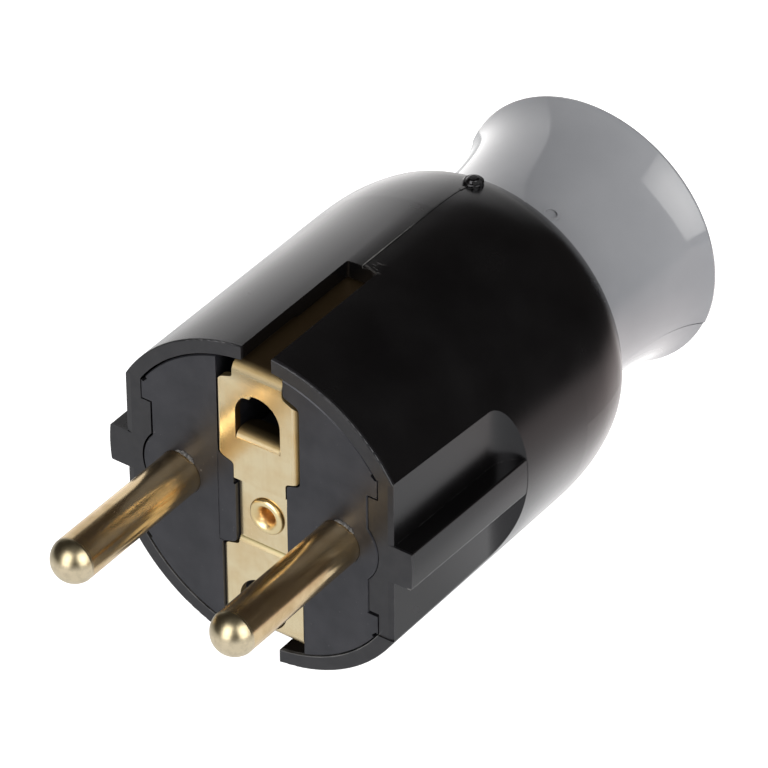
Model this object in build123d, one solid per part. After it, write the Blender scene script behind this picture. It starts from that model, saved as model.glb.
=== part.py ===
"""Two-pole rewirable plug with side earth clips and an earth-pin hole.

Frame, in millimetres: X runs along the line through the two pins, Y runs
rearward from the face (the pins point to -Y), Z is up, with the earth-pin
hole above the pins. The origin is on the face, midway between the pins.
"""
import os

from build123d import *

os.makedirs("parts", exist_ok=True)

# ---------------------------------------------------------------- dimensions
PIN_X = 9.5                # half of the 19 mm pin spacing
PIN_R = 2.4                # 4.8 mm pins
PIN_LEN = 19.0             # from the face to the tip
PIN_CAP_R = 2.43           # ball end, a little fuller than the shank
PIN_CAP_H = 2.15
PIN_NECK_R, PIN_NECK_Y = 2.3, 0.7   # tapers in just behind the face
COLLAR_R = 2.6             # the pin where it is held in the insert
BARREL_R = 3.25            # terminal end of a pin, inside the insert
BARREL_Y0, BARREL_Y1 = 9.0, 18.5
SCREW_Y = 14.0             # where the terminal screws sit

BODY_R = 18.4              # outside of the housing
BODY_END = 40.9            # rear end face of the housing
DOME = [(BODY_R, 29.1), (18.34, 31.0), (18.15, 33.0), (17.75, 35.0), (17.17, 36.8),
        (16.2, 38.4), (14.76, 39.8), (13.88, BODY_END - 0.35)]
END_R = 13.45              # edge of the end face
RIM_R = 16.85              # inside of the front rim
FLAT = {-1: (16.02, 16.15), 1: (15.76, 16.12)}  # side flats, at the front and where they end
RUN_Y, RUN_R = 15.25, 4.0  # where the flats curve out, and how round
RIB_R = {-1: 18.22, 1: 17.97}      # guide rib on each flat, at its front end
RIB_TOP, RIB_LOW = 2.1, -2.2
SLOT_X, SLOT_LOW_X, SLOT_Y = 1.8, 2.1, 17.2  # slots over the earth clips
LEAD_X, LEAD_Y = 0.62, 0.09 # bevel on the front edges of the flats
FRONT_R = 0.15             # rounding of the rim's front edge
SEAM_W, SEAM_H = 0.09, 0.05  # mould line along the top, half its width and its height
NUB_X, NUB_Y = 0.13, 35.6  # snapped-off gate on the dome
CAV_R, CAV_X, CAV_END = 15.6, 14.25, 33.5
LEDGE_Y, LEDGE_R = 35.5, 7.5
THREAD_R = 11.6

INS_R = 16.7               # insert that carries the contacts
INS_X, INS_NOTCH_X, INS_NOTCH_Z = 13.95, 12.82, 7.15
BOSS_R = 4.5
INS_T = 9.0
FIT = 0.15                 # insert to housing, all round
EDGE = 0.1                 # the insert's broken front edge

BRASS_T = 0.8              # earth strip
STRIP_W, NECK_W = 4.75, 2.95   # half widths of the upper plate and of the clips
STEP_X0, STEP_X1 = -2.98, 3.2  # narrow end of the upper plate
MID_X0, MID_X1 = -2.75, 3.15   # recessed middle
LOW_X0, LOW_X1 = -4.5, 4.8     # lower plate
CLIP_TOP, CLIP_LOW = 16.2, -15.6
CLIP_END = 17.9
MID_Y, LOW_Y = 0.6, 0.35   # front of the middle and lower parts
EARTH_Z, EARTH_R = 10.3, 2.66
TONGUE_Z = 7.25            # centre of the tongue's bend
EYE_X, EYE_Z = 0.52, -1.28
HOLE_Z, HOLE_R = -12.3, 2.82
FIX_Z = -11.9              # fixing screw behind the lower hole

TAIL_TURN = 21.0           # how far round the tail is screwed
TAIL = [(13.26, BODY_END), (13.12, 42.4), (13.05, 44.0), (13.09, 46.0), (13.22, 48.0),
        (13.44, 50.0), (13.77, 52.0), (14.29, 54.0), (14.98, 55.6), (15.41, 56.3)]
TAIL_MISMATCH = 0.12       # the two halves of the tail's mould
TAIL_IN = [(14.35, 56.7), (12.9, 53.8), (11.75, 50.6), (11.3, 47.6)]
CORD_R = 5.75              # cord entry


# ------------------------------------------------------------------- helpers
def box(x0, x1, y0, y1, z0, z1):
    return Pos((x0 + x1) / 2, (y0 + y1) / 2, (z0 + z1) / 2) * Box(x1 - x0, y1 - y0, z1 - z0)


def cyl_y(r, x, z, y0, y1):
    return Pos(x, (y0 + y1) / 2, z) * Rot(90, 0, 0) * Cylinder(r, y1 - y0)


def cyl_x(r, y, z, x0, x1):
    return Pos((x0 + x1) / 2, y, z) * Rot(0, 90, 0) * Cylinder(r, x1 - x0)


def cyl_z(r, x, y, z0, z1):
    return Pos(x, y, (z0 + z1) / 2) * Cylinder(r, z1 - z0)


def prism(sketch, y0, y1):
    """A sketch drawn in X and Z, made solid from y0 to y1."""
    at = Plane(origin=(0, y1, 0), x_dir=(1, 0, 0), z_dir=(0, -1, 0))
    return extrude(at * sketch, amount=y1 - y0)


def bar(points, x0, x1):
    """A closed outline in Y and Z, made solid from x0 to x1."""
    at = Plane(origin=(x0, 0, 0), x_dir=(0, 1, 0), z_dir=(1, 0, 0))
    return extrude(at * make_face(Polyline(*points, close=True)), amount=x1 - x0)


def rounded(points):
    """A closed outline in X and Z; each point is (x, z, corner radius)."""
    face = make_face(Polyline(*[(x, z) for x, z, r in points], close=True))
    for x, z, r in points:
        if r:
            corner = min(face.vertices(), key=lambda v: (v.X - x) ** 2 + (v.Y - z) ** 2)
            face = fillet(corner, r)
    return face


def bend(y, z, r_out, x0, x1, fy, fz):
    """A quarter of a bend in the strip, about the line (y, z)."""
    ring = cyl_x(r_out, y, z, x0, x1) - cyl_x(r_out - BRASS_T, y, z, x0 - 1, x1 + 1)
    ya, yb = (y - 3, y) if fy < 0 else (y, y + 3)
    za, zb = (z - 3, z) if fz < 0 else (z, z + 3)
    return ring & box(x0 - 1, x1 + 1, ya, yb, za, zb)


def turned(edges):
    """A profile in radius (X) and Y, turned about the Y axis."""
    return revolve(make_face(edges), axis=Axis.Y, revolution_arc=360)


def outline(r, x_flat, x_notch, z_notch, boss, corner):
    """The insert seen from the front; the housing's opening is the same, larger."""
    shape = Circle(r) & Rectangle(2 * x_flat, 60)
    for s in (-1, 1):
        shape -= Pos(s * (x_notch + 5), 0) * Rectangle(10, 2 * z_notch)
        shape += Pos(s * PIN_X, 0) * Circle(boss)
        if corner:
            z_c = (r * r - x_flat * x_flat) ** 0.5
            for t in (-1, 1):
                shape -= Pos(s * (x_flat - 0.2), t * (z_c + 0.45)) * Rot(0, 0, 45) * Rectangle(corner, corner)
    return shape


def front_edges(shape):
    """The edges round the foremost face."""
    return shape.faces().sort_by(Axis.Y)[0].outer_wire().edges()


def save(shape, node):
    export_step(shape, f"parts/{node}.step")
    print(node, round(shape.volume, 1), len(shape.solids()))


# ------------------------------------------------------------------- housing
def shell(more):
    """The housing's outer shape, `more` larger all round."""
    dome = [(r + more, y) for r, y in DOME]
    r = BODY_R + more
    return turned([
        Line((0, 0), (r - FRONT_R, 0)),
        RadiusArc((r - FRONT_R, 0), (r, FRONT_R), -FRONT_R),
        Line((r, FRONT_R), dome[0]),
        Spline(*dome, tangents=((0, 1), (-1, 0.84))),
        Line(dome[-1], (END_R + more, BODY_END)),
        Line((END_R + more, BODY_END), (0, BODY_END)),
        Line((0, BODY_END), (0, 0)),
    ])


housing = shell(0.0)

run_end = RUN_Y + RUN_R
for s in (-1, 1):
    x0, x1 = FLAT[s]
    cutter = extrude(
        make_face([
            Line((x0 - 2 * (x1 - x0) / RUN_Y, -2), (x1, RUN_Y)),
            RadiusArc((x1, RUN_Y), (x1 + RUN_R, run_end), RUN_R),
            Line((x1 + RUN_R, run_end), (x1 + RUN_R, -2)),
            Line((x1 + RUN_R, -2), (x0 - 2 * (x1 - x0) / RUN_Y, -2)),
        ]), amount=15, both=True)
    bevel = extrude(make_face(Polyline((x0 - LEAD_X, 0.12), (x0 + LEAD_X, 0.12),
                                       (x0 + LEAD_X, 0.12 + 2 * LEAD_Y), close=True)), amount=15, both=True)
    cutter += bevel
    # the rib's outer face is a cone that ends a hair below the barrel
    rib_end = BODY_R - 0.03
    cone = turned([Line((0, 0.1), (RIB_R[s], 0.1)), Line((RIB_R[s], 0.1), (rib_end, run_end)),
                   Line((rib_end, run_end), (rib_end, run_end + 1)),
                   Line((rib_end, run_end + 1), (0, run_end + 1)), Line((0, run_end + 1), (0, 0.1))])
    rib = box(x0 - 1.0, 20, 0.1, run_end + 1, RIB_LOW, RIB_TOP) & cone
    rib = fillet([e for e in rib.edges() if e.center().X > 17 and e.length > 3
                  and not RIB_LOW + 0.01 < e.center().Z < RIB_TOP - 0.01], 0.18)
    if s < 0:
        cutter, rib = mirror(cutter, Plane.YZ), mirror(rib, Plane.YZ)
    housing = housing - cutter + rib

opening = outline(RIM_R, INS_X + FIT, INS_NOTCH_X + FIT, INS_NOTCH_Z - 2 * FIT, BOSS_R + FIT, 0)
housing -= prism(Pos(-0.07, 0) * opening, -1, INS_T)   # the insert sits a little to the right
housing -= cyl_y(CAV_R, 0, 0, INS_T - 0.01, CAV_END) & box(-CAV_X, CAV_X, 0, 20, -20, 20)
housing -= cyl_y(CAV_R, 0, 0, 20, CAV_END)
housing -= cyl_y(LEDGE_R, 0, 0, CAV_END - 1, LEDGE_Y + 1)
housing -= cyl_y(THREAD_R, 0, 0, LEDGE_Y, BODY_END + 1)

post = cyl_y(2.6, 0, FIX_Z, INS_T, CAV_END + 0.5) + box(-1.4, 1.4, 19.5, CAV_END + 0.5, -16.5, FIX_Z)
housing += post
housing -= cyl_y(1.6, 0, FIX_Z, INS_T - 1, 24)

for s in (-1, 1):
    z0, z1 = sorted((s * 14.55, s * 16.45))
    housing -= box(-3.15, 3.15, INS_T - 1, CLIP_END + 0.35, z0, z1) & cyl_y(16.9, 0, 0, 0, 30) \
        - box(-3.15, 3.15, INS_T - 1, 30, -14.56, 14.56)
    z0, z1 = sorted((s * 16.0, s * 21.0))
    half = SLOT_X if s > 0 else SLOT_LOW_X
    slot = box(-half, half, -1, SLOT_Y, z0, z1)
    slot = fillet(slot.edges().filter_by(Axis.Z).group_by(Axis.Y)[-1], 0.28)
    housing -= slot
    # the side walls of the rim stand a little behind its arcs
    x0, x1 = sorted((s * 12.5, s * 20.0))
    housing -= box(x0, x1, -1, 0.12, -9.4, 9.4)

# the mould line on top, from the slot to just past the gate
seam = shell(SEAM_H) & box(-SEAM_W, SEAM_W, SLOT_Y, NUB_Y + 1.5, 10, 20)
seam += shell(1.6 * SEAM_H) & box(-1.7 * SEAM_W, 1.7 * SEAM_W, NUB_Y - 2.1, NUB_Y, 10, 20)
housing += seam - shell(-0.5)

# the snapped-off gate on top of the dome
gate = [(0, 15.5), (1.0, 15.5), (1.0, 17.3), (1.07, 17.5), (1.07, 18.0), (0.95, 18.12), (0.76, 18.14),
        (0.6, 18.34), (0.42, 18.42), (0, 18.43)]
housing += Pos(NUB_X, NUB_Y, 0) * revolve(Plane.XZ * make_face(Polyline(*gate, close=True)), axis=Axis.Z, revolution_arc=360)
housing += Pos(NUB_X, NUB_Y, 0) * Rot(0, 0, -31) * box(0.3, 1.03, -0.42, 0.5, 17.0, 18.3)   # where it tore
save(housing, "housing")

# -------------------------------------------------------------------- insert
insert = prism(outline(INS_R, INS_X, INS_NOTCH_X, INS_NOTCH_Z, BOSS_R, 0.75), 0, INS_T)
insert = chamfer([e for e in front_edges(insert) if e.length > 4], EDGE)
for s in (-1, 1):
    insert += cyl_y(BOSS_R, s * PIN_X, 0, INS_T - 1, 18.0)
insert += box(-4.6, 4.6, INS_T - 1, 18.5, 5.6, 14.0)
pocket = rounded([(NECK_W + 0.12, 20, 0), (NECK_W + 0.12, 14.5, 0.45), (STRIP_W + 0.2, 13.72, 0.7),
                  (STRIP_W + 0.2, 4.46, 0.6), (STEP_X1 + 0.15, 3.94, 0.4), (STEP_X1 + 0.15, 1.4, 0),
                  (STEP_X0 - 0.12, 1.4, 0), (STEP_X0 - 0.12, 3.94, 0.4), (-STRIP_W - 0.12, 4.46, 0.6),
                  (-STRIP_W - 0.12, 20, 0)])
insert -= prism(pocket, -1, BRASS_T)                              # upper plate
insert -= box(-STRIP_W - 0.12, -NECK_W + 0.1, -1, 4.0, 12.6, 20)  # the recess beside its neck
for s in (-1, 1):
    x0, x1 = sorted((s * 3.85, s * (STRIP_W + 0.12)))
    insert -= box(x0, x1, 0, 2.2, 4.7, 13.1)                      # its side flanges
insert -= box(MID_X0 - 0.13, MID_X1 + 0.18, -1, MID_Y + BRASS_T, -5.9, 2.95)
pocket = rounded([(MID_X1 + 0.18, -4.5, 0), (MID_X1 + 0.18, -5.55, 0.4), (LOW_X1 + 0.35, -6.15, 0.4),
                  (LOW_X1 + 0.35, -20, 0), (LOW_X0 - 0.09, -20, 0), (LOW_X0 - 0.09, -6.15, 0.4),
                  (MID_X0 - 0.13, -5.55, 0.5), (MID_X0 - 0.13, -4.5, 0)])
insert -= prism(pocket, -1, LOW_Y + BRASS_T)
insert -= box(-NECK_W - 0.12, NECK_W + 0.12, -1, 20, 14.95, 20)   # upper clip
insert -= box(LOW_X0 - 0.09, LOW_X1 + 0.35, -1, 20, -20, -14.3)   # lower clip
insert -= cyl_y(2.9, 0, EARTH_Z, 0, 17.5)
insert -= box(-2.75, 2.75, 0, 8.5, 6.6, EARTH_Z)
insert -= cyl_y(2.65, 0, FIX_Z, 0, 6.0)
insert -= cyl_y(1.8, 0, FIX_Z, 0, INS_T + 1)
insert -= cyl_y(1.3, EYE_X, EYE_Z, 0, INS_T + 1)
insert -= box(-3.9, 3.9, 4.6, INS_T + 1, -5.5, 2.7)               # earth terminal
for s in (-1, 1):
    insert -= cyl_y(PIN_R + 0.03, s * PIN_X, 0, -1, INS_T)
    insert -= cyl_y(COLLAR_R + 0.05, s * PIN_X, 0, PIN_NECK_Y - 0.05, INS_T + 1)
    insert -= cyl_y(BARREL_R + 0.05, s * PIN_X, 0, INS_T, 19)
    x0, x1 = sorted((s * PIN_X, s * 16))
    insert -= cyl_x(2.2, SCREW_Y, 0, x0, x1)
insert -= box(-4.95, -2.5, -1, 0.05, -6.1, 4.6)                   # a fine step beside the strip's middle
save(insert, "insert")

# ---------------------------------------------------------------------- pins
for s, node in ((-1, "left_pin"), (1, "right_pin")):
    ball_y = -PIN_LEN + PIN_CAP_R
    shank = cyl_y(PIN_R, s * PIN_X, 0, -PIN_LEN + PIN_CAP_H, 0)
    neck = turned([Line((0, -0.5), (PIN_NECK_R, -0.5)), Line((PIN_NECK_R, -0.5), (PIN_R, 0)),
                   Line((PIN_R, 0), (PIN_NECK_R, PIN_NECK_Y)), Line((PIN_NECK_R, PIN_NECK_Y), (PIN_NECK_R, 1.0)),
                   Line((PIN_NECK_R, 1.0), (0, 1.0)), Line((0, 1.0), (0, -0.5))])
    shank += Pos(s * PIN_X, 0, 0) * neck
    shank += cyl_y(COLLAR_R, s * PIN_X, 0, PIN_NECK_Y, BARREL_Y0 + 0.5)
    cap = Pos(s * PIN_X, ball_y, 0) * Sphere(PIN_CAP_R)
    cap &= cyl_y(PIN_R, s * PIN_X, 0, -PIN_LEN - 1, -PIN_LEN + PIN_CAP_H)
    pin = shank + cap + cyl_y(BARREL_R, s * PIN_X, 0, BARREL_Y0, BARREL_Y1)
    pin -= cyl_y(1.45, s * PIN_X, 0, 11.5, 20)
    x0, x1 = sorted((s * PIN_X, s * (PIN_X + 4)))
    pin -= cyl_x(1.5, SCREW_Y, 0, x0, x1)
    save(pin, node)

# --------------------------------------------------------------- earth strip
T = BRASS_T
plate = box(-STRIP_W, STRIP_W, 0, T, 2.25, 15.0)
for s in (-1, 1):
    x0, x1 = sorted((s * (STRIP_W - T), s * STRIP_W))
    plate += box(x0, x1, 0, 2.0, 2.25, 15.0)
plate = fillet(plate.edges().filter_by(Axis.Z).group_by(Axis.Y)[0].sort_by(Axis.X)[-1], 0.72)   # rolled right edge
plate = fillet(plate.edges().filter_by(Axis.Z).group_by(Axis.Y)[0].sort_by(Axis.X)[0], 0.22)
front = rounded([(NECK_W, 15.0, 0), (NECK_W, 14.07, 0.65), (STRIP_W, 13.25, 0.8), (STRIP_W, 4.57, 0.55),
                 (STEP_X1, 4.05, 0.5), (STEP_X1, 2.25, 0), (STEP_X0, 2.25, 0), (STEP_X0, 4.05, 0.5),
                 (-STRIP_W, 4.57, 1.0), (-STRIP_W, 13.68, 1.0), (-NECK_W, 14.34, 0.35), (-NECK_W, 15.0, 0)])
strip = plate & prism(front, -1, 5)
strip -= box(-6, 6, T, 5, 12.9, 16) + box(-6, 6, T, 5, 1, 4.95)
strip += bend(1.2, 15.0, 1.2, -NECK_W, NECK_W, -1, 1)
tip = box(-NECK_W, NECK_W, 1.2, CLIP_END, CLIP_TOP - T, CLIP_TOP)
strip += fillet(tip.edges().filter_by(Axis.Z).group_by(Axis.Y)[-1], 1.0)
strip += bar([(0, 2.9), (0, 2.25), (0.6, 2.0), (0.6, 1.2), (1.4, 1.2), (1.4, 2.55), (0.8, 2.85)], MID_X0, MID_X1)
strip += box(MID_X0, MID_X1, MID_Y, MID_Y + T, -4.6, 1.8)
strip += bar([(0.6, -4.2), (0.6, -4.98), (0.35, -5.5), (0.35, -6.0), (1.15, -6.0), (1.15, -5.79), (1.4, -5.27), (1.4, -4.2)], MID_X0, MID_X1)
lower = rounded([(MID_X1, -5.5, 0), (MID_X1, -5.95, 0.5), (LOW_X1, -6.45, 0.65), (LOW_X1, -14.4, 0),
                 (LOW_X0, -14.4, 0), (LOW_X0, -6.45, 0.65), (MID_X0, -5.95, 0.5), (MID_X0, -5.5, 0)])
strip += prism(lower, LOW_Y, LOW_Y + T)
strip += bend(LOW_Y + 1.2, -14.4, 1.2, LOW_X0, LOW_X1, -1, -1)
strip += box(LOW_X0, LOW_X1, LOW_Y + 1.2, 4.0, CLIP_LOW, CLIP_LOW + T)
tip = box(-NECK_W, NECK_W, 3.9, CLIP_END, CLIP_LOW, CLIP_LOW + T)
strip += fillet(tip.edges().filter_by(Axis.Z).group_by(Axis.Y)[-1], 1.0)
strip -= cyl_y(HOLE_R, 0, HOLE_Z, -1, 1.5)
strip -= cyl_y(1.25, EYE_X, EYE_Z, -1, 3)
strip -= cyl_y(EARTH_R, 0, EARTH_Z, -1, 1.5)
strip -= box(-EARTH_R, EARTH_R, -1, 1.5, TONGUE_Z, EARTH_Z)
tongue_x = EARTH_R - 0.1                                          # contact tongue
strip += bend(0.9, TONGUE_Z, 0.9, -tongue_x, tongue_x, -1, 1)
strip += box(-tongue_x, tongue_x, 0, T, TONGUE_Z - 0.2, TONGUE_Z)
tongue = box(-tongue_x, tongue_x, 0.9, 2.7, TONGUE_Z + 0.1, TONGUE_Z + 0.9)
strip += fillet(tongue.edges().filter_by(Axis.Z).group_by(Axis.Y)[-1], 1.2)
save(strip, "earth_strip")

# -------------------------------------------------------- earth eyelet (rivet)
eyelet = turned([
    Line((0, 2.3), (0.72, 2.3)),
    Spline((0.72, 2.3), (0.8, 1.3), (0.98, 0.62), (1.28, 0.28), (1.6, 0.18), tangents=((0.05, -1), (1, -0.02))),
    RadiusArc((1.6, 0.18), (2.02, 0.6), -0.42),
    Line((2.02, 0.6), (1.2, 0.6)),
    Line((1.2, 0.6), (1.2, 5.6)),
    Line((1.2, 5.6), (1.9, 5.6)),
    Line((1.9, 5.6), (1.6, 6.1)),
    Line((1.6, 6.1), (0, 6.1)),
    Line((0, 6.1), (0, 2.3)),
])
save(Pos(EYE_X, 0, EYE_Z) * eyelet, "earth_eyelet")

# ------------------------------------------------- earth terminal, rear side
bracket = box(-3.6, 3.6, 4.6, 5.6, -5.2, 2.4) + box(-3.6, 3.6, 4.6, 15.0, -5.2, -4.0)
bracket -= cyl_y(1.25, EYE_X, EYE_Z, 4, 6)
bracket -= cyl_z(1.6, 0, 11.0, -6, -3)
save(bracket, "earth_terminal")
washer = box(-3.1, 3.1, 8.2, 13.8, -4.0, -3.2) - cyl_z(1.7, 0, 11.0, -5, -2)
save(washer, "earth_clamp_washer")
screw = cyl_z(1.55, 0, 11.0, -7.5, -3.1) + cyl_z(2.8, 0, 11.0, -3.2, -1.3)
screw -= box(-4, 4, 10.6, 11.4, -2.2, -1.0)
save(screw, "earth_terminal_screw")

# ------------------------------------------------------------ other screws
for s, node in ((-1, "left_terminal_screw"), (1, "right_terminal_screw")):
    x0, x1 = sorted((s * 10.2, s * 13.0))
    screw = cyl_x(1.45, SCREW_Y, 0, x0, x1)
    x0, x1 = sorted((s * 12.85, s * 13.95))
    screw += cyl_x(2.05, SCREW_Y, 0, x0, x1)
    x0, x1 = sorted((s * 13.3, s * 15))
    screw -= box(x0, x1, SCREW_Y - 0.35, SCREW_Y + 0.35, -3, 3)
    save(screw, node)

screw = cyl_y(2.45, 0, FIX_Z, 4.0, 6.0) + cyl_y(1.55, 0, FIX_Z, 5.9, 22.0)
screw = chamfer(screw.edges().group_by(Axis.Y)[0], 0.5)
screw -= box(-4, 4, 3, 5.0, FIX_Z - 0.4, FIX_Z + 0.4)
save(screw, "fixing_screw")

# -------------------------------------------------------------- cord clamp
collet = turned([
    Line((6.8, 35.5), (11.3, 35.5)),
    Line((11.3, 35.5), (11.3, 37.2)),
    Line((11.3, 37.2), (8.9, 37.2)),
    Line((8.9, 37.2), (8.9, 42.6)),
    Line((8.9, 42.6), (7.7, 43.8)),
    Line((7.7, 43.8), (6.8, 43.8)),
    Line((6.8, 43.8), (6.8, 35.5)),
])
for i in range(3):
    collet -= Rot(0, 60 * i + 30, 0) * box(-15, 15, 38.2, 45, -0.6, 0.6)
save(collet, "clamp_collet")


def tail_half(out):
    """Half of the tail; the lower half's mould is `out` smaller."""
    skin = [(r - out, y) for r, y in TAIL]
    r_end, y_end = skin[-1]
    edges = [
        Line((9.3, 37.6), (11.5, 37.6)),
        Line((11.5, 37.6), (11.5, BODY_END)),
        Line((11.5, BODY_END), skin[0]),
        Spline(*skin, tangents=((-0.11, 1), (0.68, 1))),
        RadiusArc((r_end, y_end), (r_end - 0.42, y_end + 0.5), -0.45),
        Line((r_end - 0.42, y_end + 0.5), TAIL_IN[0]),
        Spline(*TAIL_IN, tangents=((-0.5, -1), (-0.05, -1))),
        RadiusArc(TAIL_IN[-1], (TAIL_IN[-1][0] - 1.0, TAIL_IN[-1][1] - 1.1), 1.2),
        Line((TAIL_IN[-1][0] - 1.0, TAIL_IN[-1][1] - 1.1), (7.7, 46.5)),
        Line((7.7, 46.5), (7.5, 48.2)),
        Line((7.5, 48.2), (6.3, 48.2)),
        RadiusArc((6.3, 48.2), (CORD_R, 47.6), -0.6),
        Line((CORD_R, 47.6), (CORD_R, 44.2)),
        Line((CORD_R, 44.2), (7.6, 44.2)),
        Line((7.6, 44.2), (9.3, 42.5)),
        Line((9.3, 42.5), (9.3, 37.6)),
    ]
    return revolve(make_face(edges), axis=Axis.Y, revolution_arc=180)


tail = tail_half(TAIL_MISMATCH) + Rot(0, 180, 0) * tail_half(0.0)
# a fine groove under the parting line, where the two halves meet
core = [(r - 0.34, y) for r, y in TAIL] + [(TAIL[-1][0] - 0.34, 58.0)]
core = turned([Line((0, 40), (core[0][0], 40)), Line((core[0][0], 40), core[0]), Polyline(*core),
               Line(core[-1], (0, 58.0)), Line((0, 58.0), (0, 40))])
tail -= box(-20, 20, BODY_END + 0.01, 58, -0.3, 0) - core
# the gate mark, a quarter turn from the parting line
tail += Pos(0.25, 42.25, 12.9) * (Cylinder(0.88, 0.62) - Cylinder(0.6, 2))
tail -= Pos(0.25, 42.25, 13.4) * Cylinder(0.6, 0.9)
tail = Rot(0, TAIL_TURN, 0) * tail
save(tail, "gland_nut")
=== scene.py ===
"""Looks of a two-pole rewirable plug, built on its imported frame.

Metres, in the part's own frame: X along the pins, Y rearward, Z up.
"""
import math

import bmesh
import bpy
from mathutils import Matrix, Vector, noise as rough_noise


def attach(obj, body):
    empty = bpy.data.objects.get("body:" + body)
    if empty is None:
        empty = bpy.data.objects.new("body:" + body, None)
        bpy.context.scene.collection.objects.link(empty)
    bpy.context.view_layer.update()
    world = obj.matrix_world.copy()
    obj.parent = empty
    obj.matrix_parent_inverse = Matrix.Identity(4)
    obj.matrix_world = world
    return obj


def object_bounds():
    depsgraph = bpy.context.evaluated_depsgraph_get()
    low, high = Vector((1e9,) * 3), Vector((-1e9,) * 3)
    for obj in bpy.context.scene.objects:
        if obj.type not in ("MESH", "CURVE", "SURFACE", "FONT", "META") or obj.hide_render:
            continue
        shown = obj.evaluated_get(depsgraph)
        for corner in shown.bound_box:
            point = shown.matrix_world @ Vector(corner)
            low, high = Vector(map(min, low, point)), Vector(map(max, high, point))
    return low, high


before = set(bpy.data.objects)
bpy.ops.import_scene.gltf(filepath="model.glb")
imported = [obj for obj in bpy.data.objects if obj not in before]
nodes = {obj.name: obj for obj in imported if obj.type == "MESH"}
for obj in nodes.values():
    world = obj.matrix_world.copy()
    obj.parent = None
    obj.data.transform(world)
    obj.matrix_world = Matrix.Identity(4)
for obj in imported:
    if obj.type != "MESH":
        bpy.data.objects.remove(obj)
CAD_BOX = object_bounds()
scene = bpy.context.scene


# ------------------------------------------------------------- shader helpers
def node(nt, kind, ins=None, **props):
    n = nt.nodes.new("ShaderNode" + kind)
    for k, v in props.items():
        setattr(n, k, v)
    for k, v in (ins or {}).items():
        if isinstance(v, bpy.types.NodeSocket):
            nt.links.new(v, n.inputs[k])
        else:
            n.inputs[k].default_value = v
    return n


def material(name):
    m = bpy.data.materials.new(name)
    m.use_nodes = True
    nt = m.node_tree
    nt.nodes.clear()
    out = node(nt, "OutputMaterial")
    bsdf = node(nt, "BsdfPrincipled")
    nt.links.new(bsdf.outputs[0], out.inputs["Surface"])
    co = node(nt, "TexCoord").outputs["Object"]
    return m, nt, bsdf, co


def noise(nt, co, scale, detail=2.0, rough=0.5, stretch=None, warp=0.0):
    if stretch:
        co = node(nt, "VectorMath", {0: co, 1: stretch}, operation="MULTIPLY").outputs[0]
    return node(nt, "TexNoise", {"Vector": co, "Scale": scale, "Detail": detail, "Roughness": rough, "Distortion": warp}).outputs["Fac"]


def span(nt, fac, a, b, lo, hi):
    """fac from a..b becomes lo..hi, clamped."""
    return node(nt, "MapRange", {"Value": fac, "From Min": a, "From Max": b, "To Min": lo, "To Max": hi}).outputs["Result"]


def math_(nt, op, a, b):
    return node(nt, "Math", {0: a, 1: b}, operation=op).outputs[0]


def mix(nt, fac, a, b):
    n = node(nt, "Mix", data_type="RGBA")
    for s, v in ((n.inputs[0], fac), (n.inputs[6], a), (n.inputs[7], b)):
        if isinstance(v, bpy.types.NodeSocket):
            nt.links.new(v, s)
        else:
            s.default_value = v
    return n.outputs[2]


def bump(nt, height, distance, strength=1.0, normal=None):
    ins = {"Height": height, "Distance": distance, "Strength": strength}
    if normal is not None:
        ins["Normal"] = normal
    return node(nt, "Bump", ins).outputs["Normal"]


def specks(nt, co, scale, size, keep):
    """Sparse round specks, 1 inside a speck."""
    v = node(nt, "TexVoronoi", {"Vector": co, "Scale": scale}, feature="F1")
    dot = span(nt, v.outputs["Distance"], size * 0.6, size, 1.0, 0.0)
    pick = node(nt, "SeparateColor", {"Color": v.outputs["Color"]}).outputs[0]
    on = math_(nt, "LESS_THAN", pick, keep)
    return math_(nt, "MULTIPLY", dot, on)


def edges(nt, radius, samples=6):
    """A mask that is 1 along the edges."""
    soft = node(nt, "Bevel", {"Radius": radius}, samples=samples).outputs[0]
    hard = node(nt, "NewGeometry").outputs["True Normal"]
    same = node(nt, "VectorMath", {0: soft, 1: hard}, operation="DOT_PRODUCT").outputs["Value"]
    return span(nt, same, 0.98, 0.80, 0.0, 1.0)


def within(nt, co, centre, near, far):
    """1 nearer than `near` to a point, 0 beyond `far`."""
    away = node(nt, "VectorMath", {0: co, 1: centre}, operation="DISTANCE").outputs["Value"]
    return span(nt, away, near, far, 1.0, 0.0)


def ramp(nt, fac, stops):
    """fac through a row of (place, grey) stops."""
    n = node(nt, "ValToRGB", {"Fac": fac})
    row = n.color_ramp.elements
    row[0].position, row[1].position = stops[0][0], stops[-1][0]
    row[0].color, row[1].color = [(v, v, v, 1.0) for v in (stops[0][1], stops[-1][1])]
    for at, v in stops[1:-1]:
        row.new(at).color = (v, v, v, 1.0)
    return node(nt, "SeparateColor", {"Color": n.outputs["Color"]}).outputs[0]


def scratches(nt, co, angle, scale, thin, keep):
    """Short thin lines at an angle in X and Z, 1 on a line."""
    turn = node(nt, "Mapping", {"Vector": co, "Rotation": (0.0, math.radians(angle), 0.0), "Scale": (scale, scale, scale * 0.12)}).outputs[0]
    v = node(nt, "TexVoronoi", {"Vector": turn, "Scale": 1.0, "Randomness": 1.0}, feature="F1")
    line = span(nt, v.outputs["Distance"], thin * 0.5, thin, 1.0, 0.0)
    pick = node(nt, "SeparateColor", {"Color": v.outputs["Color"]}).outputs[0]
    return math_(nt, "MULTIPLY", line, math_(nt, "LESS_THAN", pick, keep))


def place(nt, co):
    """The X, Y and Z of the coordinate."""
    n = node(nt, "SeparateXYZ", {0: co})
    return n.outputs[0], n.outputs[1], n.outputs[2]


def rgb(r, g, b):
    return (r, g, b, 1.0)


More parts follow.
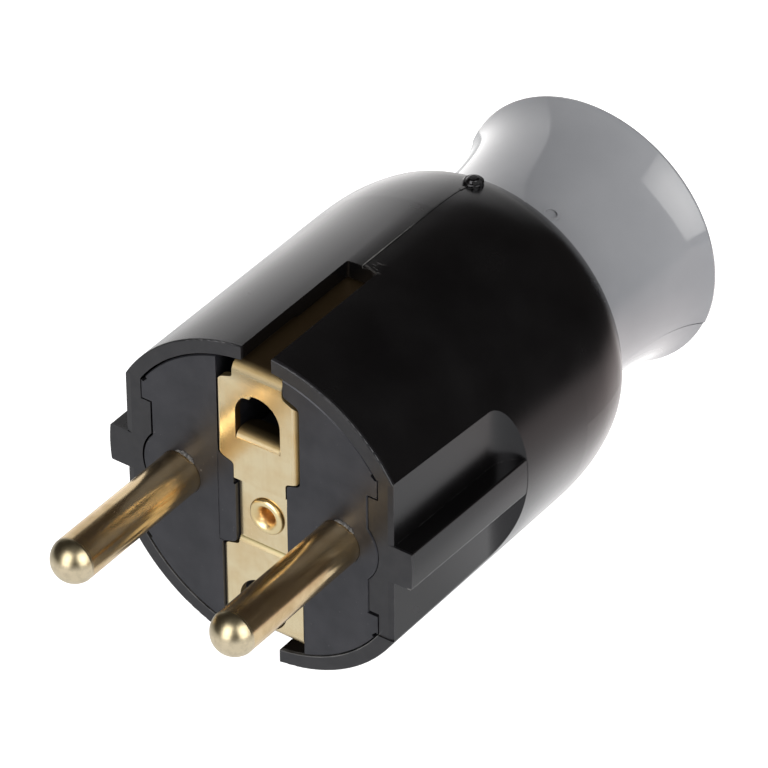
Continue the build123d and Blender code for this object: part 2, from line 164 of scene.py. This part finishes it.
# ------------------------------------------------------------------ materials
def plastic_housing():
    m, nt, b, co = material("housing_black")
    x, y, z = place(nt, co)
    cloud = noise(nt, co, 160, 3)
    grain = noise(nt, co, 5200, 2, 0.6)
    peel = noise(nt, co, 420, 2)
    dust = specks(nt, co, 520, 0.05, 0.10)
    face = span(nt, y, 0.00045, 0.0002, 0.0, 1.0)            # the front rim is duller
    wear = math_(nt, "MULTIPLY", edges(nt, 0.00005), span(nt, noise(nt, co, 900, 3, 0.7), 0.45, 0.68, 0.0, 1.0))
    # a scuff at the corner of the upper slot, and rubbed streaks along the mould line
    smear = math_(nt, "MULTIPLY", within(nt, co, (0.0011, 0.0177, 0.0183), 0.0003, 0.0013),
                  span(nt, noise(nt, co, 1900, 3, 0.7, stretch=(0.4, 1.4, 1.0)), 0.52, 0.68, 0.0, 1.0))
    base = mix(nt, span(nt, cloud, 0.35, 0.65, 0, 1), rgb(0.0018, 0.0017, 0.0019), rgb(0.0028, 0.0027, 0.0029))
    dull = mix(nt, span(nt, noise(nt, co, 700, 4, 0.65), 0.35, 0.65, 0, 1), rgb(0.0052, 0.0052, 0.0063), rgb(0.0098, 0.0095, 0.0107))
    base = mix(nt, face, base, dull)
    base = mix(nt, math_(nt, "MULTIPLY", wear, 0.30), base, rgb(0.20, 0.195, 0.19))
    base = mix(nt, math_(nt, "MULTIPLY", dust, 0.45), base, rgb(0.34, 0.33, 0.32))
    base = mix(nt, math_(nt, "MULTIPLY", smear, 0.35), base, rgb(0.20, 0.195, 0.19))
    # painted highlight: the mould line behind the slot is painted lighter, as a ridge that catches the light; the
    # lower edge of the right rib is lighter too
    line = math_(nt, "MULTIPLY", span(nt, math_(nt, "ABSOLUTE", x, 0.0), 0.00004, 0.00009, 1.0, 0.0),
                 math_(nt, "MULTIPLY", span(nt, y, 0.0170, 0.0174, 0.0, 1.0), span(nt, y, 0.021, 0.028, 1.0, 0.0)))
    line = math_(nt, "MULTIPLY", line, math_(nt, "GREATER_THAN", z, 0.0181))
    rib_edge_lighter = math_(nt, "MULTIPLY", span(nt, math_(nt, "ABSOLUTE", math_(nt, "ADD", z, 0.00212), 0.0), 0.00005, 0.00013, 1.0, 0.0),
                math_(nt, "MULTIPLY", math_(nt, "GREATER_THAN", x, 0.0174), math_(nt, "LESS_THAN", y, 0.0187)))
    line = math_(nt, "MULTIPLY", math_(nt, "MAXIMUM", line, rib_edge_lighter), span(nt, noise(nt, co, 1400, 3, 0.6), 0.30, 0.60, 0.35, 1.0))
    base = mix(nt, math_(nt, "MULTIPLY", line, 0.75), base, rgb(0.13, 0.128, 0.125))
    # painted highlight: a thin light line along the lower part of the inner rim edge, at the front
    flat = node(nt, "VectorMath", {0: co, 1: (1.0, 0.0, 1.0)}, operation="MULTIPLY").outputs[0]
    out = node(nt, "VectorMath", {0: flat, 1: (-0.00007, 0.0, 0.0)}, operation="DISTANCE").outputs["Value"]
    rim_edge_highlight = math_(nt, "MULTIPLY", span(nt, math_(nt, "ABSOLUTE", math_(nt, "SUBTRACT", out, 0.01688), 0.0), 0.00003, 0.00007, 1.0, 0.0),
                math_(nt, "MULTIPLY", span(nt, z, -0.0105, -0.0085, 1.0, 0.0), math_(nt, "LESS_THAN", y, 0.0004)))
    rim_edge_highlight = math_(nt, "MULTIPLY", rim_edge_highlight, span(nt, noise(nt, co, 500, 3, 0.6), 0.35, 0.60, 0.3, 1.0))
    base = mix(nt, math_(nt, "MULTIPLY", rim_edge_highlight, 0.55), base, rgb(0.16, 0.158, 0.155))
    nt.links.new(base, b.inputs["Base Color"])
    r = math_(nt, "ADD", span(nt, cloud, 0.3, 0.7, 0.235, 0.275), math_(nt, "MULTIPLY", dust, 0.3))
    r = math_(nt, "ADD", r, math_(nt, "MULTIPLY", face, 0.08))
    nt.links.new(r, b.inputs["Roughness"])
    b.inputs["Specular Tint"].default_value = rgb(0.95, 0.955, 1.0)
    rubbed = noise(nt, co, 1.0, 3, 0.6, stretch=(420.0, 4200.0, 420.0))
    n = bump(nt, peel, 0.00002, 0.10)
    n = bump(nt, rubbed, 0.000005, 0.10, n)
    n = bump(nt, grain, 0.000004, 0.18, n)
    nt.links.new(n, b.inputs["Normal"])
    b.inputs["IOR"].default_value = 1.5
    return m


def plastic_insert():
    m, nt, b, co = material("insert_black")
    cloud = noise(nt, co, 300, 4, 0.6)
    grain = noise(nt, co, 4200, 3, 0.6)
    dust = specks(nt, co, 700, 0.055, 0.22)
    fine = specks(nt, co, 1500, 0.11, 0.26)
    lines = scratches(nt, co, 38, 1500, 0.05, 0.05)
    wear = math_(nt, "MULTIPLY", edges(nt, 0.00006), span(nt, noise(nt, co, 900, 3, 0.7), 0.42, 0.66, 0.0, 1.0))
    base = mix(nt, span(nt, cloud, 0.36, 0.64, 0, 1), rgb(0.0058, 0.0060, 0.0078), rgb(0.0138, 0.0138, 0.0166))
    base = mix(nt, math_(nt, "MULTIPLY", wear, 0.35), base, rgb(0.20, 0.195, 0.19))
    haze = span(nt, noise(nt, co, 210, 3, 0.6), 0.45, 0.65, 0.25, 1.0)
    base = mix(nt, math_(nt, "MULTIPLY", fine, math_(nt, "MULTIPLY", haze, 0.24)), base, rgb(0.30, 0.29, 0.29))
    base = mix(nt, math_(nt, "MULTIPLY", lines, 0.30), base, rgb(0.30, 0.29, 0.29))
    base = mix(nt, math_(nt, "MULTIPLY", dust, 0.45), base, rgb(0.36, 0.35, 0.34))
    nt.links.new(base, b.inputs["Base Color"])
    nt.links.new(span(nt, cloud, 0.3, 0.7, 0.31, 0.41), b.inputs["Roughness"])
    b.inputs["Specular Tint"].default_value = rgb(0.90, 0.915, 1.0)
    n = bump(nt, grain, 0.00001, 0.35)
    nt.links.new(n, b.inputs["Normal"])
    b.inputs["IOR"].default_value = 1.5
    return m


def brass(name, light, dark, rough, along, scratch, ball=None, fold=False):
    """Brass with fine streaks along one axis and patches of tarnish.

    Another roughness before y = ball, with painted shade on the upper side of
    the ball end. With fold, the bends and cut edges are browner than the flat
    front, and painted shade darkens the clips in the slots, the earth-pin hole,
    the crease of the lower joggle and the top of the neck.
    """
    m, nt, b, co = material(name)
    stretch = [3200.0, 3200.0, 3200.0]
    stretch[along] = 110.0
    streak = noise(nt, co, 1.0, 3, 0.6, stretch=tuple(stretch))
    patch = noise(nt, co, 260, 4, 0.6)
    fine = noise(nt, co, 2600, 2)
    dust = specks(nt, co, 900, 0.06, 0.08)
    x, y, z = place(nt, co)
    base = mix(nt, span(nt, patch, 0.42, 0.72, 0, 1), light, dark)
    base = mix(nt, span(nt, streak, 0.55, 0.8, 0, 0.35), base, dark)
    base = mix(nt, math_(nt, "MULTIPLY", dust, 0.35), base, rgb(0.95, 0.93, 0.88))
    r = math_(nt, "ADD", span(nt, patch, 0.3, 0.7, rough[0], rough[1]), span(nt, streak, 0.4, 0.8, 0.0, 0.06))
    b.inputs["Metallic"].default_value = 1.0
    if ball is not None:
        shank = span(nt, y, ball, ball + 0.0003, 0.0, 1.0)
        r = node(nt, "MapRange", {"Value": shank, "To Min": BALL_ROUGH, "To Max": r}).outputs["Result"]
        # painted shade: the ball end is darker on its upper side and paler below, with spots of tarnish
        ball_shade_and_tarnish = mix(nt, span(nt, z, 0.0003, 0.0011, 0.0, 1.0), rgb(0.80, 0.69, 0.49), rgb(0.41, 0.35, 0.225))
        ball_shade_and_tarnish = mix(nt, span(nt, noise(nt, co, 1500, 3, 0.6), 0.45, 0.70, 0.0, 0.22), ball_shade_and_tarnish, rgb(0.22, 0.18, 0.105))
        base = mix(nt, shank, ball_shade_and_tarnish, base)
    if fold:
        turned = place(nt, node(nt, "NewGeometry").outputs["Normal"])[1]
        side = span(nt, turned, -0.995, -0.80, 0.0, 1.0)
        brown = mix(nt, span(nt, patch, 0.35, 0.65, 0, 1), rgb(0.34, 0.255, 0.125), rgb(0.27, 0.19, 0.085))
        # painted shade: the neck darkens towards its top, where it bends back
        neck_shade = math_(nt, "MULTIPLY", span(nt, z, 0.0139, 0.0149, 0.0, 0.85), math_(nt, "LESS_THAN", y, 0.0003))
        base = mix(nt, neck_shade, base, rgb(0.47, 0.38, 0.225))
        base = mix(nt, side, base, brown)
        # painted shade: a dark line in the crease at the top of the lower joggle, paling below it
        low = math_(nt, "MULTIPLY", span(nt, z, -0.00545, -0.00515, 0.25, 1.0), math_(nt, "LESS_THAN", math_(nt, "ABSOLUTE", math_(nt, "ADD", z, 0.00525), 0.0), 0.00029))
        joggle_shade = mix(nt, span(nt, z, -0.00525, -0.00500, 0.0, 1.0), rgb(0.62, 0.54, 0.33), rgb(0.22, 0.18, 0.075))
        base = mix(nt, low, base, joggle_shade)
        # painted shade: the side walls of the earth-pin hole are near black
        hole_wall_shade = math_(nt, "MAXIMUM", math_(nt, "GREATER_THAN", math_(nt, "ABSOLUTE", x, 0.0), 0.00258), math_(nt, "GREATER_THAN", z, 0.0100))
        hole_wall_shade = math_(nt, "MULTIPLY", hole_wall_shade, math_(nt, "MULTIPLY", within(nt, co, (0.0, 0.0004, 0.0098), 0.0034, 0.0036), side))
        base = mix(nt, math_(nt, "MULTIPLY", hole_wall_shade, 0.9), base, rgb(0.075, 0.031, 0.009))
        # painted shade: inside the earth-pin hole it goes dark
        hole = math_(nt, "MULTIPLY", within(nt, co, (0.0, 0.0012, 0.0098), 0.0034, 0.0036), side)
        base = mix(nt, math_(nt, "MULTIPLY", hole, span(nt, y, 0.0003, 0.0016, 0.0, 1.0)), base, rgb(0.03, 0.021, 0.010))
        # painted shade: the strip goes dark where it bends back into the slots at top and bottom
        slot_clip_shade = math_(nt, "MULTIPLY", span(nt, y, 0.00045, 0.0010, 0.0, 1.0),
                     math_(nt, "GREATER_THAN", math_(nt, "ABSOLUTE", z, 0.0), 0.0148))
        base = mix(nt, slot_clip_shade, base, rgb(0.085, 0.056, 0.027))
        nt.links.new(span(nt, side, 0.0, 1.0, 1.0, 0.85), b.inputs["Metallic"])
        r = math_(nt, "ADD", r, math_(nt, "MULTIPLY", span(nt, turned, -0.9996, -0.97, 0.0, 1.0), 0.20))
    nt.links.new(base, b.inputs["Base Color"])
    nt.links.new(r, b.inputs["Roughness"])
    n = bump(nt, streak, 0.000006, scratch)
    n = bump(nt, fine, 0.000003, 0.3, n)
    nt.links.new(n, b.inputs["Normal"])
    return m


def plastic_tail():
    m, nt, b, co = material("tail_grey")
    cloud = noise(nt, co, 130, 3)
    grain = noise(nt, co, 5200, 2, 0.6)
    peel = noise(nt, co, 260, 2)
    dust = specks(nt, co, 500, 0.045, 0.08)
    base = mix(nt, span(nt, cloud, 0.3, 0.7, 0, 1), rgb(0.196, 0.202, 0.217), rgb(0.216, 0.222, 0.237))
    base = mix(nt, math_(nt, "MULTIPLY", dust, 0.4), base, rgb(0.5, 0.49, 0.48))
    x, y, z = place(nt, co)
    # painted shade: a dark line along the parting-line groove, on the outside
    part = math_(nt, "ADD", math_(nt, "MULTIPLY", x, math.sin(math.radians(21.0))), math_(nt, "MULTIPLY", z, math.cos(math.radians(21.0))))
    part = span(nt, math_(nt, "ABSOLUTE", math_(nt, "ADD", part, 0.00015), 0.0), 0.00014, 0.00019, 1.0, 0.0)
    flat = node(nt, "VectorMath", {0: co, 1: (1.0, 0.0, 1.0)}, operation="MULTIPLY").outputs[0]
    flat = node(nt, "VectorMath", {0: flat}, operation="NORMALIZE").outputs[0]
    face = node(nt, "VectorMath", {0: flat, 1: node(nt, "NewGeometry").outputs["True Normal"]}, operation="DOT_PRODUCT").outputs["Value"]
    part = math_(nt, "MULTIPLY", part, math_(nt, "GREATER_THAN", face, 0.25))      # outside only
    base = mix(nt, math_(nt, "MULTIPLY", part, 0.6), base, rgb(0.06, 0.06, 0.064))
    nt.links.new(base, b.inputs["Base Color"])
    nt.links.new(span(nt, cloud, 0.3, 0.7, 0.065, 0.085), b.inputs["Roughness"])
    n = bump(nt, peel, 0.00003, 0.12)
    n = bump(nt, grain, 0.000004, 0.2, n)
    nt.links.new(n, b.inputs["Normal"])
    b.inputs["IOR"].default_value = 1.5
    return m


def steel():
    m, nt, b, co = material("screw_steel")
    patch = noise(nt, co, 500, 4, 0.6)
    fine = noise(nt, co, 3000, 2)
    base = mix(nt, span(nt, patch, 0.35, 0.7, 0, 1), rgb(0.62, 0.61, 0.58), rgb(0.46, 0.44, 0.40))
    nt.links.new(base, b.inputs["Base Color"])
    nt.links.new(span(nt, patch, 0.3, 0.7, 0.22, 0.36), b.inputs["Roughness"])
    nt.links.new(bump(nt, fine, 0.000005, 0.5), b.inputs["Normal"])
    b.inputs["Metallic"].default_value = 1.0
    return m


def plastic_collet():
    m, nt, b, co = material("collet_plastic")
    cloud = noise(nt, co, 300, 3)
    grain = noise(nt, co, 4200, 2, 0.6)
    base = mix(nt, span(nt, cloud, 0.3, 0.7, 0, 1), rgb(0.020, 0.020, 0.021), rgb(0.032, 0.032, 0.033))
    nt.links.new(base, b.inputs["Base Color"])
    nt.links.new(span(nt, cloud, 0.3, 0.7, 0.35, 0.5), b.inputs["Roughness"])
    nt.links.new(bump(nt, grain, 0.000008, 0.5), b.inputs["Normal"])
    return m


def mould_flash():
    m, nt, b, co = material("flash_grey")
    crumb = noise(nt, co, 3600, 4, 0.7)
    base = mix(nt, span(nt, crumb, 0.35, 0.65, 0, 1), rgb(0.025, 0.025, 0.026), rgb(0.15, 0.147, 0.142))
    nt.links.new(base, b.inputs["Base Color"])
    nt.links.new(span(nt, crumb, 0.3, 0.7, 0.45, 0.65), b.inputs["Roughness"])
    nt.links.new(bump(nt, crumb, 0.00004, 0.6), b.inputs["Normal"])
    return m


BALL_ROUGH = 0.31
HOUSING, INSERT, TAIL = plastic_housing(), plastic_insert(), plastic_tail()
PIN = brass("pin_brass", rgb(0.87, 0.67, 0.40), rgb(0.64, 0.45, 0.225), (0.17, 0.23), 1, 0.35, ball=-0.01685)
STRIP = brass("strip_brass", rgb(0.85, 0.725, 0.475), rgb(0.78, 0.61, 0.355), (0.17, 0.23), 2, 0.3, fold=True)
EYELET = brass("eyelet_brass", rgb(0.86, 0.73, 0.44), rgb(0.78, 0.61, 0.32), (0.30, 0.38), 1, 0.15)
STEEL, COLLET = steel(), plastic_collet()

nt = EYELET.node_tree
b = next(n for n in nt.nodes if n.type == "BSDF_PRINCIPLED")
base = b.inputs["Base Color"].links[0].from_socket
co = node(nt, "TexCoord").outputs["Object"]
y = place(nt, co)[1]
flat = node(nt, "VectorMath", {0: co, 1: (1.0, 0.0, 1.0)}, operation="MULTIPLY").outputs[0]
away = node(nt, "VectorMath", {0: flat, 1: (0.00052, 0.0, -0.00128)}, operation="DISTANCE").outputs["Value"]
base = mix(nt, span(nt, away, 0.0009, 0.0012, 0.75, 0.0), base, rgb(0.74, 0.49, 0.25))
rim = math_(nt, "MULTIPLY", span(nt, away, 0.00186, 0.00196, 0.0, 1.0), span(nt, away, 0.0022, 0.0023, 1.0, 0.0))
base = mix(nt, math_(nt, "MULTIPLY", rim, 0.8), base, rgb(0.48, 0.31, 0.105))
# painted contact shadow: the foot of the flange goes dark where it sits on the strip
base = mix(nt, math_(nt, "MULTIPLY", rim, span(nt, y, 0.00046, 0.00056, 0.0, 0.9)), base, rgb(0.10, 0.062, 0.024))
nt.links.new(base, b.inputs["Base Color"])

FINISH = {
    "housing": HOUSING, "insert": INSERT, "left_pin": PIN, "right_pin": PIN,
    "earth_strip": STRIP, "earth_eyelet": EYELET, "earth_terminal": STRIP,
    "earth_clamp_washer": STEEL, "earth_terminal_screw": STEEL,
    "left_terminal_screw": STEEL, "right_terminal_screw": STEEL,
    "fixing_screw": STEEL, "clamp_collet": COLLET, "gland_nut": TAIL,
}
for name, mat in FINISH.items():
    data = nodes[name].data
    data.materials.clear()
    data.materials.append(mat)

# ------------------------------------------------- mould flash and a cut burr
def skin(name, rows, mat):
    """A closed skin through a row of closed outlines; points in millimetres."""
    n = len(rows[0])
    bm = bmesh.new()
    verts = [[bm.verts.new(Vector(p) / 1000.0) for p in row] for row in rows]
    for a, b in zip(verts, verts[1:]):
        for j in range(n):
            bm.faces.new((a[j], a[(j + 1) % n], b[(j + 1) % n], b[j]))
    bm.faces.new(verts[0])
    bm.faces.new(verts[-1])
    bmesh.ops.recalc_face_normals(bm, faces=bm.faces)
    mesh = bpy.data.meshes.new(name)
    bm.to_mesh(mesh)
    bm.free()
    mesh.materials.append(mat)
    o = bpy.data.objects.new(name, mesh)
    scene.collection.objects.link(o)
    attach(o, "root")
    return o


def wobble(u, v, seed):
    return rough_noise.noise(Vector((u, v, seed)))


def flash(name, x, seed, wide, a0=46.0, a1=102.0, n=150):
    """A crumbly ridge on the face round the upper side of a pin."""
    rows = []
    for i in range(n + 1):
        t = i / n
        a = math.radians(a0 + (a1 - a0) * t)
        body = min(1.0, 5.0 * t, 5.0 * (1.0 - t)) ** 0.7
        lump = 1.0 + 0.45 * wobble(9 * t, 0.3, seed) + 0.45 * wobble(34 * t, 1.7, seed)
        w, h = wide * body * lump + 0.03, 0.20 * body * lump + 0.01
        row = []
        for r, y in ((2.405, 0.03), (2.405, -0.55 * h), (2.43 + 0.25 * w, -h), (2.43 + 0.6 * w, -0.85 * h),
                     (2.43 + 0.9 * w, -0.40 * h), (2.43 + w, 0.03)):
            r += 0.045 * wobble(40 * t, 4.0 * r, seed + 3.1) * (1 if r > 2.42 else 0)
            y += 0.035 * wobble(44 * t, 5.0 * r, seed + 7.7) * (1 if y < 0 else 0)
            row.append((x + r * math.cos(a), y, r * math.sin(a)))
        rows.append(row)
    skin(name, rows, FLASH)


FLASH = mould_flash()
flash("left_pin_flash", -9.5, 2.0, 0.26)
flash("right_pin_flash", 9.5, 5.0, 0.22)

rows = []
for i in range(41):
    t = i / 40
    a = math.radians(106.0 + 27.0 * t)
    deep = 0.05 + 0.36 * math.sin(math.pi * min(1.0, t ** 1.1)) ** 1.2 + 0.03 * wobble(6 * t, 0.2, 9.0)
    rows.append([(r * math.cos(a), y, 10.3 + r * math.sin(a)) for r, y in (
        (2.64, 0.06), (2.64 - 0.6 * deep, 0.10), (2.64 - deep, 0.22), (2.64 - 0.96 * deep, 0.32),
        (2.64 - 0.5 * deep, 0.36), (2.64, 0.42))])
skin("earth_hole_burr", rows, EYELET)

# --------------------------------------------------------------------- camera
cam = bpy.data.cameras.new("camera")
cam.sensor_width, cam.lens = 36.0, 281.25
cam.clip_start, cam.clip_end = 0.02, 20.0
camera = bpy.data.objects.new("camera", cam)
scene.collection.objects.link(camera)
turn = Matrix(((0.8122733190823941, -0.3441953073790844, 0.47089451630390566),
               (0.5832480983731075, 0.4873400321787864, -0.649862561454446),
               (-0.005806104634387271, 0.8025143509085662, 0.5966045639573816)))
camera.matrix_world = Matrix.Translation((0.277180202846432, -0.36194629435711914, 0.3533817224620752)) @ turn.to_4x4()
scene.camera = camera

# ----------------------------------------------------------- stage and lights
FLOOR_Z = CAD_BOX[0].z
AIM = Vector((0.0, 0.018, 0.0))
TABLE, REAR, HOT, CARD, SOFT = 0.75, 0.75, 0.85, 2.1, 5.5


def towards(az, el):
    a, e = math.radians(az), math.radians(el)
    return Vector((math.sin(a) * math.cos(e), -math.cos(a) * math.cos(e), math.sin(e)))


def panel(name, place, facing, w, h):
    """A flat sheet, w across and h high, that faces a direction."""
    mesh = bpy.data.meshes.new(name)
    mesh.from_pydata([(-w / 2, -h / 2, 0), (w / 2, -h / 2, 0), (w / 2, h / 2, 0), (-w / 2, h / 2, 0)], [], [(0, 1, 2, 3)])
    uv = mesh.uv_layers.new(name="UVMap")
    for i, c in enumerate(((0, 0), (1, 0), (1, 1), (0, 1))):
        uv.data[i].uv = c
    o = bpy.data.objects.new(name, mesh)
    scene.collection.objects.link(o)
    if facing.z < 0.999:
        o.rotation_mode = "QUATERNION"
        o.rotation_quaternion = facing.to_track_quat("Z", "Y")
    o.location = place
    return o


def glow(name, colour, strength, diffuse=None):
    m = bpy.data.materials.new(name)
    m.use_nodes = True
    nt = m.node_tree
    nt.nodes.clear()
    out = node(nt, "OutputMaterial")
    e = node(nt, "Emission", {"Color": colour, "Strength": strength})
    last = e.outputs[0]
    if diffuse is not None:
        d = node(nt, "BsdfDiffuse", {"Color": diffuse})
        last = node(nt, "AddShader", {0: e.outputs[0], 1: d.outputs[0]}).outputs[0]
    nt.links.new(last, out.inputs["Surface"])
    return m, nt, e


def softbox(name, az, el, dist, w, h, radiance, edge=0.55):
    """A lit panel that faces the part, brightest in its middle and dimmer towards its top."""
    d = towards(az, el)
    o = panel(name, AIM + d * dist, -d, w, h)
    m, nt, e = glow(name, rgb(1.0, 0.985, 0.96), radiance)
    uv = node(nt, "TexCoord").outputs["UV"]
    mid = node(nt, "VectorMath", {0: uv, 1: (0.5, 0.5, 0.0)}, operation="SUBTRACT").outputs[0]
    far = node(nt, "VectorMath", {0: mid}, operation="LENGTH").outputs["Value"]
    high = span(nt, place(nt, uv)[1], 0.70, 1.0, 1.0, 0.55)
    nt.links.new(math_(nt, "MULTIPLY", high, span(nt, far, 0.1, 0.6, radiance, radiance * edge)), e.inputs["Strength"])
    o.data.materials.append(m)
    o.visible_camera = False
    return o


# what the camera sees below the part
floor = panel("floor", (0, 0.02, FLOOR_Z), Vector((0, 0, 1)), 6.0, 6.0)
m, nt, e = glow("floor_white", rgb(1, 1, 1), 0.97, rgb(0.5, 0.5, 0.5))
floor.data.materials.append(m)
floor.visible_glossy = False

# what the gloss sees of it: a white table top with a rear edge, brighter before the card
sheet = panel("sheet", (0.0, 0.0, FLOOR_Z - 0.0004), Vector((0, 0, 1)), 1.4, 1.4)
m, nt, e = glow("sheet_white", rgb(1, 1, 1), 1.0)
co = node(nt, "TexCoord").outputs["Object"]
x, y, z = place(nt, co)
warm = math_(nt, "MULTIPLY", span(nt, x, 0.0, 0.03, 0.0, 1.0), span(nt, y, 0.03, 0.06, 0.0, 1.0))
nt.links.new(mix(nt, warm, rgb(1.0, 1.0, 1.0), rgb(1.0, 0.87, 0.84)), e.inputs["Color"])
lit = math_(nt, "MULTIPLY", span(nt, x, -0.30, -0.24, 0.0, 1.0), span(nt, x, 0.21, 0.25, 1.0, 0.0))
lit = math_(nt, "MULTIPLY", lit, span(nt, y, -0.32, -0.26, 0.0, 1.0))
lit = math_(nt, "MULTIPLY", lit, span(nt, y, 0.078, 0.115, 1.0, 0.0))
gap = within(nt, co, (0.069, -0.124, 0.0), 0.022, 0.050)                # the dark place between the lamps
lit = math_(nt, "MULTIPLY", lit, math_(nt, "SUBTRACT", 1.0, math_(nt, "MULTIPLY", gap, 0.75)))
rear = math_(nt, "MULTIPLY", span(nt, x, 0.015, 0.045, 1.0, 0.0), span(nt, y, 0.030, 0.062, 0.0, 1.0))
hot = within(nt, co, (0.016, 0.038, 0.0), 0.006, 0.022)
level = math_(nt, "ADD", math_(nt, "MULTIPLY", rear, REAR), TABLE)
level = math_(nt, "ADD", math_(nt, "MULTIPLY", hot, HOT), level)
nt.links.new(math_(nt, "ADD", math_(nt, "MULTIPLY", lit, level), 0.03), e.inputs["Strength"])
sheet.data.materials.append(m)
sheet.visible_camera = sheet.visible_diffuse = sheet.visible_shadow = False

# a white card that stands on the table at the left rear, lit most in its middle
card = panel("card", (-0.0566, 0.0974, FLOOR_Z + 0.046), Vector((0.7071, -0.7071, 0.0)), 0.185, 0.092)
m, nt, e = glow("card_white", rgb(1.0, 0.985, 0.975), CARD)
u, v, z = place(nt, node(nt, "TexCoord").outputs["UV"])
along = ramp(nt, u, ((0.0, 0.30), (0.19, 0.32), (0.38, 0.82), (0.45, 0.96), (0.50, 0.86), (0.58, 0.55),
                     (0.65, 0.38), (0.75, 0.26), (0.83, 0.17), (0.92, 0.09), (1.0, 0.0)))
top = math_(nt, "MULTIPLY", span(nt, v, 0.05, 0.97, 1.30, 0.68), span(nt, v, 0.97, 1.0, 1.0, 0.0))
foot = node(nt, "MapRange", {"Value": v, "From Min": 0.05, "From Max": 0.40, "To Max": 1.0,
                             "To Min": span(nt, u, 0.52, 0.66, 1.0, 0.35)}).outputs["Result"]
shade = math_(nt, "MULTIPLY", along, math_(nt, "MULTIPLY", top, foot))
nt.links.new(math_(nt, "MULTIPLY", shade, CARD), e.inputs["Strength"])
card.data.materials.append(m)
card.visible_camera = False

softbox("softbox_left", -4, 28.5, 1.2, 0.9, 1.4, SOFT)
softbox("softbox_right", 80, 29.5, 1.2, 0.98, 1.32, SOFT)

# a broad light above the rear, too wide and dim to show in the gloss
back = towards(-150, 60)
sky = panel("sky", AIM + back * 1.2, -back, 1.2, 1.0)
m, nt, e = glow("sky_white", rgb(1.0, 1.0, 1.0), 1.4)
sky.data.materials.append(m)
sky.visible_camera = sky.visible_glossy = False

# a dim ceiling over the front
up = towards(20, 76)
fill = panel("ceiling", AIM + up * 1.3, -up, 1.3, 0.9)
m, nt, e = glow("ceiling_grey", rgb(1.0, 0.97, 0.94), 0.12)
fill.data.materials.append(m)
fill.visible_camera = False

world = bpy.data.worlds.new("world")
world.use_nodes = True
world.node_tree.nodes["Background"].inputs["Color"].default_value = (0.034, 0.028, 0.024, 1)
world.node_tree.nodes["Background"].inputs["Strength"].default_value = 1.0
scene.world = world
scene.view_settings.view_transform = "Standard"
scene.view_settings.look = "None"
